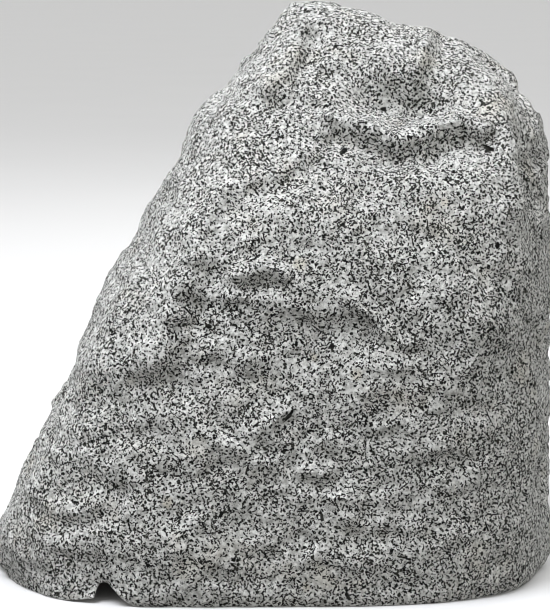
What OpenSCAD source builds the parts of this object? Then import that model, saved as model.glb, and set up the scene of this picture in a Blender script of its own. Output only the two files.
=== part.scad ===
// Garden speaker in the form of a split boulder: a moulded stone-finish shell with a
// two-way driver unit behind a round grille, a closed base plate, and a cable notch in the rim.
// Millimetres, +Z up, origin on the ground under the middle of the box.
// -Y is the plain rock face over the cable notch, +Y is the side that plays.

/* [Shell] */
// Thickness of the moulded shell wall
wall = 7; // [6:0.5:8]
// Columns of facets across the plain rock face
front_cols = 56; // [40:4:64]
// Columns of facets across the playing side
back_cols = 28; // [20:4:32]
// Rows of facets from crest to rim
rows = 36; // [28:1:40]
// Height of the rim above the ground
rim_z = 1.5; // [1:0.5:2]

/* [Driver opening] */
// Centre of the opening, left to right
drv_x = 22; // [20:1:24]
// Height of the centre of the opening
drv_z = 130; // [128:1:132]
// How far the driver looks upward, in degrees
drv_tilt = 8; // [7:0.5:9]
// Radius of the round hole in the shell
open_r = 97; // [96.5:0.5:98]

/* [Woofer] */
// Radius of the circle of driver screws
screw_r = 78; // [77.5:0.5:78.5]
// Number of driver screws
screw_n = 8; // [6:1:8]
// Radius of the pole piece
pole_r = 12.2; // [12.1:0.05:12.3]
// Inner radius of the voice coil former
former_r = 12.6; // [12.55:0.05:12.65]
// Outer radius of the voice coil winding
winding_r = 13.3; // [13.2:0.05:13.35]
// Radius of the hole in the top plate
gap_r = 13.6; // [13.6:0.05:13.8]

/* [Grille] */
// Distance between the holes in the grille
grille_pitch = 9; // [8.5:0.5:12]
// Radius of the holes in the grille
grille_hole_r = 3; // [2:0.5:3]

/* [Base] */
// Underside of the base plate above the ground
plate_z = 20; // [18:1:20]
// Thickness of the base plate
plate_t = 5; // [5:0.5:6]
// Radius of the rubber feet
foot_r = 12; // [10:1:13]

/* [Hidden] */
eps = 0.01;
// Strength of the warp that keeps ledge lines from running straight
warp = 1;
// Moves the outline back so that the box is centred on the origin
shift_y = 3;

// Outline of the rock by height: z, left x, right x, front y, back y
ST = [
  [338, 19, 19, -6, -6], [336, 9, 30, -19, 17], [329, 3, 60, -40, 42], [320, -1, 92, -56, 61],
  [311, -7, 116, -68, 76], [302, -17, 130, -76, 87], [293, -24, 142, -83, 96],
  [284, -30, 146, -90, 104], [275, -39, 154, -96, 110], [266, -47, 161, -101, 115],
  [248, -54, 166, -110, 123], [230, -63, 165, -118, 129], [212, -76, 165, -125, 134],
  [193, -84, 166, -130, 138], [175, -97, 165, -134, 141], [157, -105, 165, -137, 143],
  [138, -112, 164, -140, 144], [119, -119, 165, -142, 145], [100, -129, 167, -144, 146],
  [82, -139, 165, -146, 146], [63, -148, 165, -148, 146], [45, -156, 165, -150, 146],
  [26, -165, 167, -151, 146], [12, -169, 168, -150, 145], [5, -167, 166, -148, 143],
  [rim_z, -162, 162, -143, 140]];
// How square the outline is, by height, in three quarters of it
SQ_FL = [[0, 4.6], [60, 4.8], [150, 4.8], [260, 3.4], [330, 2.3]];
SQ_FR = [[0, 3.0], [60, 3.4], [150, 4.2], [260, 4.4], [330, 2.6]];
SQ_B = [[0, 3.0], [60, 3.6], [150, 4.5], [260, 4.0], [330, 2.4]];
// Split faces: azimuth and elevation of the face, distance from the rock's core, edge softness
CORE = [0, shift_y, 150];
drv_o = [drv_x, 130 + shift_y, drv_z];
drv_n = [0, cos(drv_tilt), sin(drv_tilt)];
CUTS = [
  [90, drv_tilt, (drv_o - CORE) * drv_n, 3],
  [-87, 4, 138, 5], [-87, 26, 138, 6], [-87, 38, 141, 8], [-126, 30, 133, 4], [-124, 6, 158, 6],
  [-62, 2, 165, 8], [-18, -3, 181, 6],
  [-25, 8, 176, 5], [48, 6, 186, 6], [130, 8, 172, 6], [60, 42, 196, 8], [115, 42, 170, 8],
  [-20, 44, 204, 6]];
// Swells and hollows of the plain face: x, z, half width, half height, turn, height
BUMPS = [
  [78, 281, 26, 13, 0, -9], [90, 308, 9, 16, -20, -3], [80, 266, 34, 6, 0, 4],
  [98, 238, 34, 12, 0, 3], [45, 250, 20, 14, 0, 2],
  [-62, 226, 16, 22, -60, 2], [-112, 140, 20, 30, -70, 2],
  [-8, 318, 12, 26, -40, 2], [-36, 280, 12, 24, -50, 2], [-36, 176, 12, 30, -25, -6],
  [-60, 132, 22, 14, -30, -3], [-72, 96, 20, 16, -40, -4], [-90, 70, 20, 10, 10, -3],
  [-118, 34, 24, 12, 5, 2], [-66, 38, 22, 13, 0, 3], [-40, 34, 18, 13, 0, 1],
  [24, 26, 26, 12, 0, 1.5], [60, 30, 20, 12, 0, 2], [120, 34, 26, 14, 0, 2],
  [-14, 142, 16, 9, 0, 4], [0, 152, 72, 18, 0, -5], [10, 118, 60, 40, 0, -4],
  [-52, 150, 12, 20, -20, -3], [-12, 96, 22, 11, 20, 4], [54, 128, 20, 15, 20, 4],
  [8, 218, 18, 12, 5, 4], [40, 212, 20, 14, -20, 3], [114, 158, 16, 12, 0, 4],
  [34, 80, 14, 8, -20, -3], [56, 170, 14, 10, -30, -3], [100, 84, 16, 8, 20, -2],
  [148, 246, 10, 24, 0, -8], [140, 120, 12, 30, 0, -3]];
// Chipped ledges: x and z of both ends, half width, height; out above the line and in below it
LEDGES = [
  [34, 265, 58, 257, 7, 5], [62, 255, 84, 254, 7, 6], [88, 256, 116, 263, 7, 5],
  [52, 292, 74, 288, 10, 3.5], [76, 287, 94, 290, 10, 3.5], [77, 296, 90, 322, 7, 4],
  [0, 285, 15, 305, 6, 3.5], [-40, 198, -34, 217, 7, 4], [-30, 224, 20, 248, 7, 4.5],
  [-63, 136, -50, 158, 10, 3], [-50, 162, -40, 194, 10, 3], [-20, 184, 5, 184, 6, 5],
  [43, 168, 57, 153, 6, 5], [17, 74, 34, 74, 6, 4], [104, 118, 134, 146, 12, 2.5],
  [-142, 52, -96, 54, 7, 2.5], [-100, 118, -44, 140, 16, 3], [2, 168, 44, 161, 12, 3],
  [146, 216, 138, 264, 9, 5]];
// Groove that runs up from the cable notch: x, z, half width, half height, turn, depth
GROOVE = [-99, 0, 11, 22, 20, -10];

// Smooth curve through a table of rows
function cr(v, s) =
  let (n = len(v) - 1, i = min(floor(s), n - 1), t = s - i, p0 = v[max(i - 1, 0)], p1 = v[i],
    p2 = v[i + 1], p3 = v[min(i + 2, n)])
  0.5 * (2 * p1 + (p2 - p0) * t + (2 * p0 - 5 * p1 + 4 * p2 - p3) * t * t
    + (3 * p1 - p0 - 3 * p2 + p3) * t * t * t);
function soft(t, w) = t > 30 * w ? t : w * ln(1 + exp(t / w));
function dir(az, el) = [cos(el) * cos(az), cos(el) * sin(az), sin(el)];
function clampv(x, a, b) = min(max(x, a), b);
// One point of the outline row v at angle th
function outline(v, th) =
  let (a = max((v[2] - v[1]) / 2, eps), b = max((v[4] - v[3]) / 2, eps), c = cos(th), d = sin(th),
    wr = 0.5 + 0.5 * clampv(c * 1.5, -1, 1), wb = 0.5 + 0.5 * clampv(d * 1.5, -1, 1),
    nf = lookup(v[0], SQ_FL) * (1 - wr) + lookup(v[0], SQ_FR) * wr,
    n = nf * (1 - wb) + lookup(v[0], SQ_B) * wb,
    r = pow(pow(abs(c), n) + pow(abs(d), n), -1 / n))
  [(v[1] + v[2]) / 2 + a * r * c, shift_y + (v[3] + v[4]) / 2 + b * r * d, v[0]];
// Press a point back to every split face in turn
function split(p, i = 0) =
  i >= len(CUTS) ? p :
  let (n = dir(CUTS[i][0], CUTS[i][1]))
  split(p - soft((p - CORE) * n - CUTS[i][2], CUTS[i][3]) * n, i + 1);
function rock(s, th) = split(outline(cr(ST, s), th));
function unit(v) = v / max(norm(v), 1e-6);
function normal_at(s, th) =
  s < 0.05 ? [0, 0, 1] :
  let (h = 0.2, s0 = max(s - h, 0), s1 = min(s + h, len(ST) - 1))
  unit(cross(rock(s1, th) - rock(s0, th), rock(s, th + 3) - rock(s, th - 3)));
function swell(x, z, b) =
  let (c = cos(b[4]), d = sin(b[4]), u = ((x - b[0]) * c + (z - b[1]) * d) / b[2],
    v = ((z - b[1]) * c - (x - b[0]) * d) / b[3])
  b[5] * exp(-u * u - v * v);
function ledge(x, z, e) =
  let (len_e = norm([e[2] - e[0], e[3] - e[1]]), tx = (e[2] - e[0]) / len_e, tz = (e[3] - e[1]) / len_e,
    u = (x - e[0]) * tx + (z - e[1]) * tz, v = ((z - e[1]) * tx - (x - e[0]) * tz) / e[4],
    o = max(-u, u - len_e, 0) / e[4])
  1.5 * e[5] * v * exp(-v * v - o * o);
function deg(r) = r * 180 / PI;
function facing_front(n) = let (t = clampv((0.15 - n[1]) / 0.5, 0, 1)) t * t * (3 - 2 * t);
ONE_B = [for (b = BUMPS) 1];
ONE_L = [for (b = LEDGES) 1];
// Height of the relief over the split faces
function relief(p, n) =
  let (f = facing_front(n),
    x = p[0] + warp * (2.5 * sin(deg(p[2] / 8 + p[0] / 23)) + 1.5 * sin(deg(p[2] / 4.3 - p[0] / 9))),
    z = p[2] + warp * (2.5 * sin(deg(p[0] / 9 - p[2] / 27)) + 1.5 * sin(deg(p[0] / 4.1 + p[2] / 11))))
  f < 0.01 ? 0 : f * ([for (b = BUMPS) swell(x, z, b)] * ONE_B + [for (e = LEDGES) ledge(x, z, e)] * ONE_L
    + swell(x, z, GROOVE));
function skin(s, th) =
  let (p = rock(s, th), n = normal_at(s, th), q = p + relief(p, n) * n)
  [q[0], q[1], max(q[2], rim_z)];
// Depth of the inner skin under the split faces, deeper behind the hollows and the notch
function depth(p, n, extra) =
  let (f = facing_front(n))
  wall + extra - f * min(0, [for (b = BUMPS) swell(p[0], p[2], b)] * ONE_B)
    + f * 8 * exp(-pow((p[0] + 97) / 26, 2) - pow((p[2] - 8) / 34, 2));
function inner(s, th, extra = 0) =
  let (p = rock(s, th), n = normal_at(s, th)) p - depth(p, n, extra) * n;
// Angles of the columns: close together on the plain face, wider on the playing side
TH = concat([for (j = [0:front_cols - 1]) 180 + 180 * j / front_cols],
  [for (j = [0:back_cols - 1]) 180 * j / back_cols]);
TH_IN = [for (j = [0:47]) 7.5 * j];
s_end = len(ST) - 1;

// Triangles between rings of m points, rings first to last, with the two ends closed by fans
function wound(m, k, top) = concat(
  [for (j = [0:m - 1]) [top, 1 + (j + 1) % m, 1 + j]],
  [for (i = [0:k - 2]) for (j = [0:m - 1]) for (f = [0, 1])
    let (a = 1 + i * m + j, b = 1 + i * m + (j + 1) % m, c = a + m, d = b + m)
    f == 0 ? [a, b, d] : [a, d, c]]);

module outer_rock() {
  m = len(TH);
  ss = [for (i = [1:rows]) s_end * i / rows];
  pts = concat([skin(0, 0)], [for (s = ss) for (t = TH) skin(s, t)]);
  k = len(ss);
  floor_face = [for (j = [0:m - 1]) 1 + (k - 1) * m + j];
  polyhedron(points = pts, faces = concat(wound(m, k, 0), [floor_face]));
}
module inner_rock() {
  m = len(TH_IN);
  ss = [for (i = [1:20]) 22.6 * i / 20];
  rows_in = [for (s = ss) [for (t = TH_IN) inner(s, t)]];
  last = [for (t = TH_IN) let (p = inner(22.6, t)) [p[0], p[1], -6]];
  k = len(ss) + 1;
  pts = concat([rock(0, 0) - [0, 0, wall]], [for (r = rows_in) for (p = r) p], last);
  floor_face = [for (j = [0:m - 1]) 1 + (k - 1) * m + j];
  polyhedron(points = pts, faces = concat(wound(m, k, 0), [floor_face]));
}

// Frame of the drivers: +Z outward through the grille, +X to the right, +Y down
module at_driver() translate(drv_o) rotate([drv_tilt - 90, 0, 0]) children();
// A point given in the driver frame, in the frame of the part, and the other way round
function out_of_driver(p) = drv_o + p[0] * [1, 0, 0] + p[1] * [0, sin(drv_tilt), -cos(drv_tilt)] + p[2] * drv_n;
// A ring of revolution from a list of radius and height
module turned(p, a = 360) rotate_extrude(angle = a, $fn = 96) polygon(p);
module around(r, n, a0 = 0) for (k = [0:n - 1]) rotate([0, 0, a0 + 360 * k / n]) translate([r, 0, 0]) children();
// A domed cap of revolution: edge radius, rise, thickness, height of the edge
module cap(r, h, t, z0) {
  R = (r * r + h * h) / (2 * h);
  a = asin(r / R);
  zc = z0 + h - R;
  turned(concat([for (i = [0:12]) [R * sin(a * i / 12), zc + R * cos(a * i / 12)]],
    [for (i = [12:-1:0]) [(R - t) * sin(a * i / 12), zc + (R - t) * cos(a * i / 12)]]));
}
// A pan head screw along +Z from z0 up to z1, with its head on top
module pan_screw(r, z0, z1, head_r, head_h) {
  difference() {
    union() {
      translate([0, 0, z0 + r]) cylinder(r = r, h = z1 - z0 - r + eps, $fn = 24);
      translate([0, 0, z0]) cylinder(r1 = r * 0.3, r2 = r, h = r + eps, $fn = 24);
      translate([0, 0, z1]) cylinder(r = head_r, h = head_h, $fn = 32);
    }
    // cross recess
    for (a = [0, 90]) rotate([0, 0, a]) translate([-head_r * 0.55, -0.4, z1 + head_h * 0.45]) cube([head_r * 1.1, 0.8, head_h]);
  }
}
// A round wire swept along hand-set points
function smooth(v, k) = [for (i = [0:k]) cr(v, (len(v) - 1) * i / k)];
module wire(v, r, k = 24) {
  p = smooth(v, k);
  n = len(p);
  ref = unit([0.31, 0.17, 0.11]);
  pts = [for (i = [0:n - 1])
    let (t = unit(p[min(i + 1, n - 1)] - p[max(i - 1, 0)]), u = unit(cross(t, ref)), w = cross(t, u))
    for (j = [0:7]) p[i] + r * (cos(45 * j) * u + sin(45 * j) * w)];
  polyhedron(points = pts, faces = concat([[for (j = [0:7]) j]], [[for (j = [7:-1:0]) 8 * (n - 1) + j]],
    [for (i = [0:n - 2]) for (j = [0:7]) [8 * i + j, 8 * (i + 1) + j, 8 * (i + 1) + (j + 1) % 8, 8 * i + (j + 1) % 8]]));
}

// ---- shell ----
module rock_shell() {
  color([0.80, 0.79, 0.76])
  resize([0, 0, 0]) difference() {
    outer_rock();
    inner_rock();
    at_driver() translate([0, 0, -60]) cylinder(r = open_r, h = 100, $fn = 80);
    // flat land inside for the baffle ring
    at_driver() translate([0, 0, -47.2]) cylinder(r = 104, h = 40, $fn = 80);
    // notch in the rim where a cable can leave
    translate([0, -60, 0]) rotate([90, 0, 0]) linear_extrude(110)
      polygon([[-122, -1], [-116, 1], [-110, 2.2], [-102.8, 3.6], [-101.8, 7], [-99.8, 10.6], [-97.8, 12], [-95.4, 12.3],
        [-93, 11.4], [-89.5, 7.8], [-86, 4.4], [-82.5, 2.2], [-77, -1]]);
  }
}

// ---- baffle and grille ----
module baffle_ring() {
  color([0.10, 0.10, 0.11])
  at_driver() difference() {
    turned([[73, -26], [96, -26], [96, -13], [103, -13], [103, -8], [96, -8], [96, -1], [92, -1], [92, -20], [73, -20]]);
    around(screw_r, screw_n, 22.5) translate([0, 0, -27]) cylinder(r = 2, h = 10, $fn = 32);
    for (a = [0, 180]) rotate([0, 0, a]) translate([79, 0, -27]) cylinder(r = 1.5, h = 10, $fn = 32);
    translate([86.5, 9, -27]) cylinder(r = 2.6, h = 10, $fn = 32);
  }
}
module baffle_seal() {
  color([0.22, 0.22, 0.22])
  at_driver() turned([[98, -8], [102, -8], [102, -7.2], [98, -7.2]]);
}
module grille() {
  rr = 86;
  n = ceil(rr / grille_pitch) + 1;
  color([0.13, 0.13, 0.13])
  at_driver() difference() {
    turned([[0, -3], [90.9, -3], [90.9, -12], [91.9, -12], [91.9, -2.6], [91.3, -2], [0, -2]]);
    for (i = [-n:n]) for (j = [-n:n])
      let (x = grille_pitch * (i + j / 2), y = grille_pitch * j * sqrt(3) / 2)
      if (norm([x, y]) < rr - grille_hole_r) translate([x, y, -4]) cylinder(r = grille_hole_r, h = 3, $fn = 24);
  }
}
module driver_gasket() {
  color([0.16, 0.16, 0.16])
  at_driver() difference() {
    turned([[73.5, -20], [82.5, -20], [82.5, -19], [73.5, -19]]);
    around(screw_r, screw_n, 22.5) translate([0, 0, -21]) cylinder(r = 2.4, h = 3, $fn = 32);
    for (a = [0, 180]) rotate([0, 0, a]) translate([79, 0, -21]) cylinder(r = 2, h = 3, $fn = 32);
  }
}
module driver_screws() {
  color([0.2, 0.2, 0.21])
  at_driver() around(screw_r, screw_n, 22.5) pan_screw(1.95, -30, -18, 3.7, 2.4);
}

// ---- woofer ----
module woofer_basket() {
  color([0.17, 0.17, 0.18])
  at_driver() difference() {
    union() {
      // mounting flange
      turned([[71.5, -19], [82.5, -19], [82.5, -18], [71.5, -18]]);
      // upper lip of the cage
      turned([[71.5, -19], [73, -19], [71.2, -22], [69.7, -22]]);
      // spokes
      for (k = [0:5]) rotate([0, 0, 60 * k + 17]) turned([[69.7, -21.9], [71.2, -21.9], [51.6, -48.1], [50, -48.1]], 26);
      // landing for the spider
      turned([[41, -48], [51.6, -48], [50.6, -49.2], [41, -49.2]]);
      // rear cup
      turned([[41, -49.1], [42.2, -49.1], [42.2, -65], [20, -65], [20, -64], [41, -64]]);
    }
    around(screw_r, screw_n, 22.5) translate([0, 0, -20]) cylinder(r = 2.3, h = 3, $fn = 32);
    for (a = [0, 180]) rotate([0, 0, a]) translate([79, 0, -20]) cylinder(r = 1.8, h = 3, $fn = 32);
  }
}
module woofer_surround() {
  color([0.07, 0.07, 0.07])
  at_driver() turned(concat([[57.2, -18], [61.6, -18]],
    [for (i = [1:11]) [66.5 - 4.9 * cos(15 * i), -18 + 4.9 * sin(15 * i)]], [[71.4, -18], [74, -18], [74, -17.4]],
    [for (i = [0:12]) let (a = 6.3 + 167.4 * i / 12) [66.5 + 5.5 * cos(a), -18 + 5.5 * sin(a)]], [[57.2, -17.4]]));
}
module woofer_cone() {
  color([0.12, 0.12, 0.125])
  at_driver() turned([[12.9, -44], [57, -19], [61, -19], [61, -18], [56.7, -18], [12.9, -42.6]]);
}
module dust_cap() {
  color([0.10, 0.10, 0.10])
  at_driver() cap(19, 6.5, 0.6, -38.85);
}
module voice_coil_former() {
  color([0.75, 0.62, 0.35])
  at_driver() turned([[former_r, -75], [12.9, -75], [12.9, -42.6], [former_r, -42.6]]);
}
module voice_coil_winding() {
  color([0.72, 0.42, 0.2])
  at_driver() turned([[12.9, -75], [winding_r, -75], [winding_r, -61], [12.9, -61]]);
}
module woofer_spider() {
  // corrugated disc: the profile rises and falls between the former and its landing
  color([0.78, 0.62, 0.3])
  at_driver() turned(concat(
    [for (i = [0:24]) let (r = 12.9 + 31.1 * i / 24) [r, -47.4 + (i > 2 && i < 20 ? 1.2 * sin(90 * (i - 2)) : 0)]],
    [[49.5, -47.4], [49.5, -48], [44, -48]],
    [for (i = [23:-1:0]) let (r = 12.9 + 31.1 * i / 24) [r, -48 + (i > 2 && i < 20 ? 1.2 * sin(90 * (i - 2)) : 0)]]));
}
module woofer_top_plate() {
  color([0.62, 0.63, 0.64])
  at_driver() turned([[gap_r, -71], [38, -71], [38, -65], [gap_r, -65]]);
}
module woofer_magnet() {
  color([0.17, 0.17, 0.18])
  at_driver() turned([[22, -86.2], [22, -71.8], [22.8, -71], [41.2, -71], [42, -71.8], [42, -86.2], [41.2, -87], [22.8, -87]]);
}
module woofer_yoke() {
  color([0.62, 0.63, 0.64])
  at_driver() turned([[4, -93], [37, -93], [38, -92], [38, -87], [pole_r, -87], [pole_r, -65.6], [pole_r - 0.6, -65], [4, -65]]);
}
module woofer_terminals() {
  // tag strip under the rim of the cage, with two solder tags
  color([0.45, 0.33, 0.18])
  at_driver() {
    difference() {
      translate([-12, 42.2, -62]) cube([24, 2, 12]);
      for (x = [-7, 7]) translate([x, 42, -54]) rotate([-90, 0, 0]) cylinder(r = 1, h = 3, $fn = 24);
    }
    for (x = [-7, 7]) translate([x - 2.4, 44.2, -60.5]) cube([4.8, 9, 0.8]);
  }
}

// ---- tweeter on its bridge ----
module tweeter_bridge() {
  color([0.12, 0.12, 0.12])
  at_driver() difference() {
    union() {
      turned([[20, -8], [23, -8], [23, -5], [20, -5]]);
      for (a = [0, 180]) rotate([0, 0, a]) {
        translate([22.3, -6, -8]) cube([59.7, 12, 3]);
        translate([76, -6, -18]) cube([6, 12, 11]);
      }
    }
    for (a = [0, 180]) rotate([0, 0, a]) translate([79, 0, 0]) {
      translate([0, 0, -19]) cylinder(r = 1.7, h = 16, $fn = 32);
      translate([0, 0, -7.2]) cylinder(r = 2.8, h = 4, $fn = 32);
    }
  }
}
module bridge_screws() {
  color([0.2, 0.2, 0.21])
  at_driver() for (a = [0, 180]) rotate([0, 0, a]) translate([79, 0, 0]) pan_screw(1.45, -29, -7.2, 2.7, 2);
}
module tweeter_housing() {
  color([0.11, 0.11, 0.11])
  at_driver() difference() {
    turned([[0, -24], [18, -24], [20, -22], [20, -5.2], [19.4, -4.6], [17.5, -4.6], [17.5, -22], [0, -22]]);
    translate([12, 9, -12.5]) rotate([0, 90, 0]) cylinder(r = 2, h = 10, $fn = 32);
  }
}
module tweeter_yoke() {
  color([0.62, 0.63, 0.64])
  at_driver() turned([[0, -22], [15, -22], [15, -11], [12, -11], [12, -20], [0, -20]]);
}
module tweeter_magnet() {
  color([0.5, 0.5, 0.52])
  at_driver() translate([0, 0, -20]) cylinder(r = 10.2, h = 6, $fn = 64);
}
module tweeter_pole_plate() {
  color([0.6, 0.6, 0.62])
  at_driver() translate([0, 0, -14]) cylinder(r = 10.6, h = 2.5, $fn = 64);
}
module tweeter_dome() {
  color([0.08, 0.08, 0.09])
  at_driver() cap(11.15, 3.6, 0.3, -10.6);
}
module tweeter_coil() {
  color([0.72, 0.42, 0.2])
  at_driver() turned([[11, -14.5], [11.5, -14.5], [11.5, -12], [11.15, -12], [11.15, -10.8], [11, -10.8]]);
}
module tweeter_surround() {
  color([0.06, 0.06, 0.06])
  at_driver() turned(concat([for (i = [0:8]) [12.6 - 1.3 * cos(22.5 * i), -10.9 + 1.3 * sin(22.5 * i)]],
    [[15, -10.7], [15, -11], [13.6, -11]], [for (i = [7:-1:1]) [12.6 - 1 * cos(22.5 * i), -11 + 1 * sin(22.5 * i)]], [[11.3, -11]]));
}
module tweeter_faceplate() {
  color([0.1, 0.1, 0.1])
  at_driver() turned([[14.4, -10.7], [17.5, -10.7], [17.5, -6.6], [17, -6.6], [14.4, -9.6]]);
}

// ---- base ----
s_plate = 22;
function plate_outline(extra) = [for (t = TH_IN) let (p = inner(s_plate, t, extra)) [p[0], p[1]]];
FEET = [[-108, -72], [100, -72], [104, 92], [-104, 92]];
GROMMET = [-82, -86];
module base_plate() {
  color([0.13, 0.13, 0.13])
  difference() {
    translate([0, 0, plate_z]) linear_extrude(plate_t) polygon(plate_outline(4.5));
    translate([GROMMET[0], GROMMET[1], plate_z - 1]) cylinder(r = 8, h = plate_t + 2, $fn = 48);
    for (b = BLOCKS) translate([block_p(b)[0], block_p(b)[1], plate_z - 1]) cylinder(r = 2.4, h = plate_t + 2, $fn = 32);
    for (f = FEET) translate([f[0], f[1], plate_z - 1]) cylinder(r = 2, h = plate_t + 2, $fn = 32);
    for (s = STANDS) translate([s[0], s[1], plate_z - 1]) cylinder(r = 1.3, h = plate_t + 2, $fn = 24);
  }
}
// Screw blocks bonded to the inside of the shell: angle around the outline
BLOCKS = [8, 50, 130, 172, 214, 262, 322];
block_d = 9;
block_h = 18;
// Screw axis of a block, and the way it faces: its outer end bites the wall where it leans in the most
function block_p(t) =
  let (p = inner(21.1, t), q = inner(21.1, t, block_d), d = [q[0] - p[0], q[1] - p[1]])
  [p[0] + d[0] / norm(d) * block_d, p[1] + d[1] / norm(d) * block_d, atan2(-d[1], -d[0])];
module mounting_blocks() {
  color([0.70, 0.69, 0.66])
  for (t = BLOCKS) let (b = block_p(t))
    translate([b[0], b[1], plate_z + plate_t]) rotate([0, 0, b[2]]) difference() {
      translate([-8, -9, 0]) cube([block_d + 8 + 2, 18, block_h]);
      translate([0, 0, -1]) cylinder(r = 2, h = block_h - 2, $fn = 32);
    }
}
module base_screws() {
  color([0.66, 0.66, 0.67])
  for (t = BLOCKS) let (b = block_p(t))
    translate([b[0], b[1], 0]) rotate([180, 0, 0]) pan_screw(1.95, -plate_z - 18, -plate_z, 4, 2.6);
}
module rubber_feet() {
  color([0.09, 0.09, 0.09])
  for (f = FEET) translate([f[0], f[1], 0]) difference() {
    union() {
      cylinder(r1 = foot_r - 1, r2 = foot_r, h = 1, $fn = 64);
      translate([0, 0, 1 - eps]) cylinder(r = foot_r, h = plate_z - 1 + eps, $fn = 64);
    }
    translate([0, 0, -1]) cylinder(r = 5, h = 9, $fn = 48);
    translate([0, 0, 7]) cylinder(r = 2.2, h = 20, $fn = 32);
  }
}
module foot_screws() {
  color([0.66, 0.66, 0.67])
  for (f = FEET) translate([f[0], f[1], 0]) rotate([180, 0, 0]) pan_screw(1.95, -plate_z - plate_t + 0.4, -8, 4.5, 2.6);
}
module cable_grommet() {
  color([0.07, 0.07, 0.07])
  translate([GROMMET[0], GROMMET[1], 0])
    turned([[3.6, plate_z - 2.5], [10.4, plate_z - 2.5], [11, plate_z - 1.9], [11, plate_z], [8, plate_z], [8, plate_z + plate_t],
      [11, plate_z + plate_t], [11, plate_z + plate_t + 1.9], [10.4, plate_z + plate_t + 2.5], [3.6, plate_z + plate_t + 2.5]]);
}

// ---- crossover ----
board_z = 33;
STANDS = [[-42, -48], [42, -48], [42, 2], [-42, 2]];
module crossover_board() {
  color([0.12, 0.32, 0.2])
  translate([0, 0, board_z]) difference() {
    translate([-48, -54, 0]) cube([96, 62, 1.6]);
    for (s = STANDS) translate([s[0], s[1], -1]) cylinder(r = 1.6, h = 4, $fn = 24);
  }
}
module board_standoffs() {
  color([0.82, 0.82, 0.8])
  for (s = STANDS) translate([s[0], s[1], plate_z + plate_t]) difference() {
    cylinder(r = 3.5, h = board_z - plate_z - plate_t, $fn = 32);
    translate([0, 0, -1]) cylinder(r = 1.3, h = 20, $fn = 24);
  }
}
module board_screws() {
  color([0.66, 0.66, 0.67])
  for (s = STANDS) translate([s[0], s[1], 0]) pan_screw(1.25, plate_z + 1, board_z + 1.6, 2.8, 1.8);
}
COILS = [[-22, -32, 17], [12, -34, 14]];
module coil_bobbins() {
  color([0.85, 0.85, 0.82])
  for (c = COILS) translate([c[0], c[1], board_z + 1.6])
    turned([[4, 0], [c[2], 0], [c[2], 1.6], [7, 1.6], [7, 15.4], [c[2], 15.4], [c[2], 17], [4, 17]]);
}
module coil_windings() {
  color([0.75, 0.43, 0.18])
  for (c = COILS) translate([c[0], c[1], board_z + 1.6])
    turned([[7, 1.6], [c[2] - 1.5, 1.6], [c[2] - 1.5, 15.4], [7, 15.4]]);
}
module capacitors() {
  color([0.16, 0.22, 0.42])
  for (c = [[-30, -2, 6.5, 24], [4, -2, 5.5, 20]])
    translate([c[0], c[1] - 4, board_z + 1.6 + c[2]]) rotate([0, 90, 0])
      turned([[0, 0], [c[2] - 1, 0], [c[2], 1], [c[2], c[3] - 1], [c[2] - 1, c[3]], [0, c[3]]]);
}
module resistor() {
  color([0.86, 0.85, 0.8])
  translate([30, -44, board_z + 1.6]) difference() {
    cube([9, 24, 9]);
    translate([2, 1.5, 8]) cube([5, 21, 2]);
  }
}
module terminal_block() {
  color([0.12, 0.4, 0.28])
  translate([-46, -22, board_z + 1.6]) difference() {
    cube([9, 20, 13]);
    for (y = [5, 15]) {
      translate([4.5, y, 5]) cylinder(r = 2.2, h = 10, $fn = 32);
      translate([-1, y, 4]) rotate([0, 90, 0]) cylinder(r = 1.8, h = 5.5, $fn = 32);
    }
  }
}
module terminal_screws() {
  color([0.75, 0.75, 0.76])
  for (y = [-17, -7]) translate([-41.5, y, board_z + 6.6 + eps]) difference() {
    cylinder(r = 2.1, h = 5, $fn = 32);
    translate([-2.5, -0.4, 4]) cube([5, 0.8, 2]);
  }
}

// ---- leads inside the cabinet ----
// Points set by hand, from the board to the tags of each driver
module woofer_leads() {
  color([0.6, 0.1, 0.08])
  for (x = [-7, 7])
    wire([[20 + x / 2, 4, board_z + 1.6], [20 + x / 2, 8, 44], [22 + x / 2, 30, 50], [22 + x, 62, 54], [22 + x, 74, 62],
      out_of_driver([x, 51, -62]), out_of_driver([x, 51, -60.5])], 0.9, 22);
}
module tweeter_leads() {
  color([0.05, 0.05, 0.05])
  for (k = [0, 1])
    wire([[32 + 3 * k, 4, board_z + 1.6], [34 + 3 * k, 8, 46 - 2 * k], [62, 30, 60 - 2 * k], [92, 60, 84 - 2 * k],
      [106, 82, 106 - 2 * k], out_of_driver([86.5, 8 + 2 * k, -34]), out_of_driver([86.5, 8 + 2 * k, -20]),
      out_of_driver([84, 8 + 2 * k, -9]), out_of_driver([72, 7.4 + 2 * k, -6.4]), out_of_driver([40, 7.4 + 2 * k, -6.4]),
      out_of_driver([27, 8 + 2 * k, -8.5]), out_of_driver([22, 8 + 2 * k, -12]), out_of_driver([16.4, 8 + 2 * k, -12.5])], 0.7, 40);
}

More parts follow.
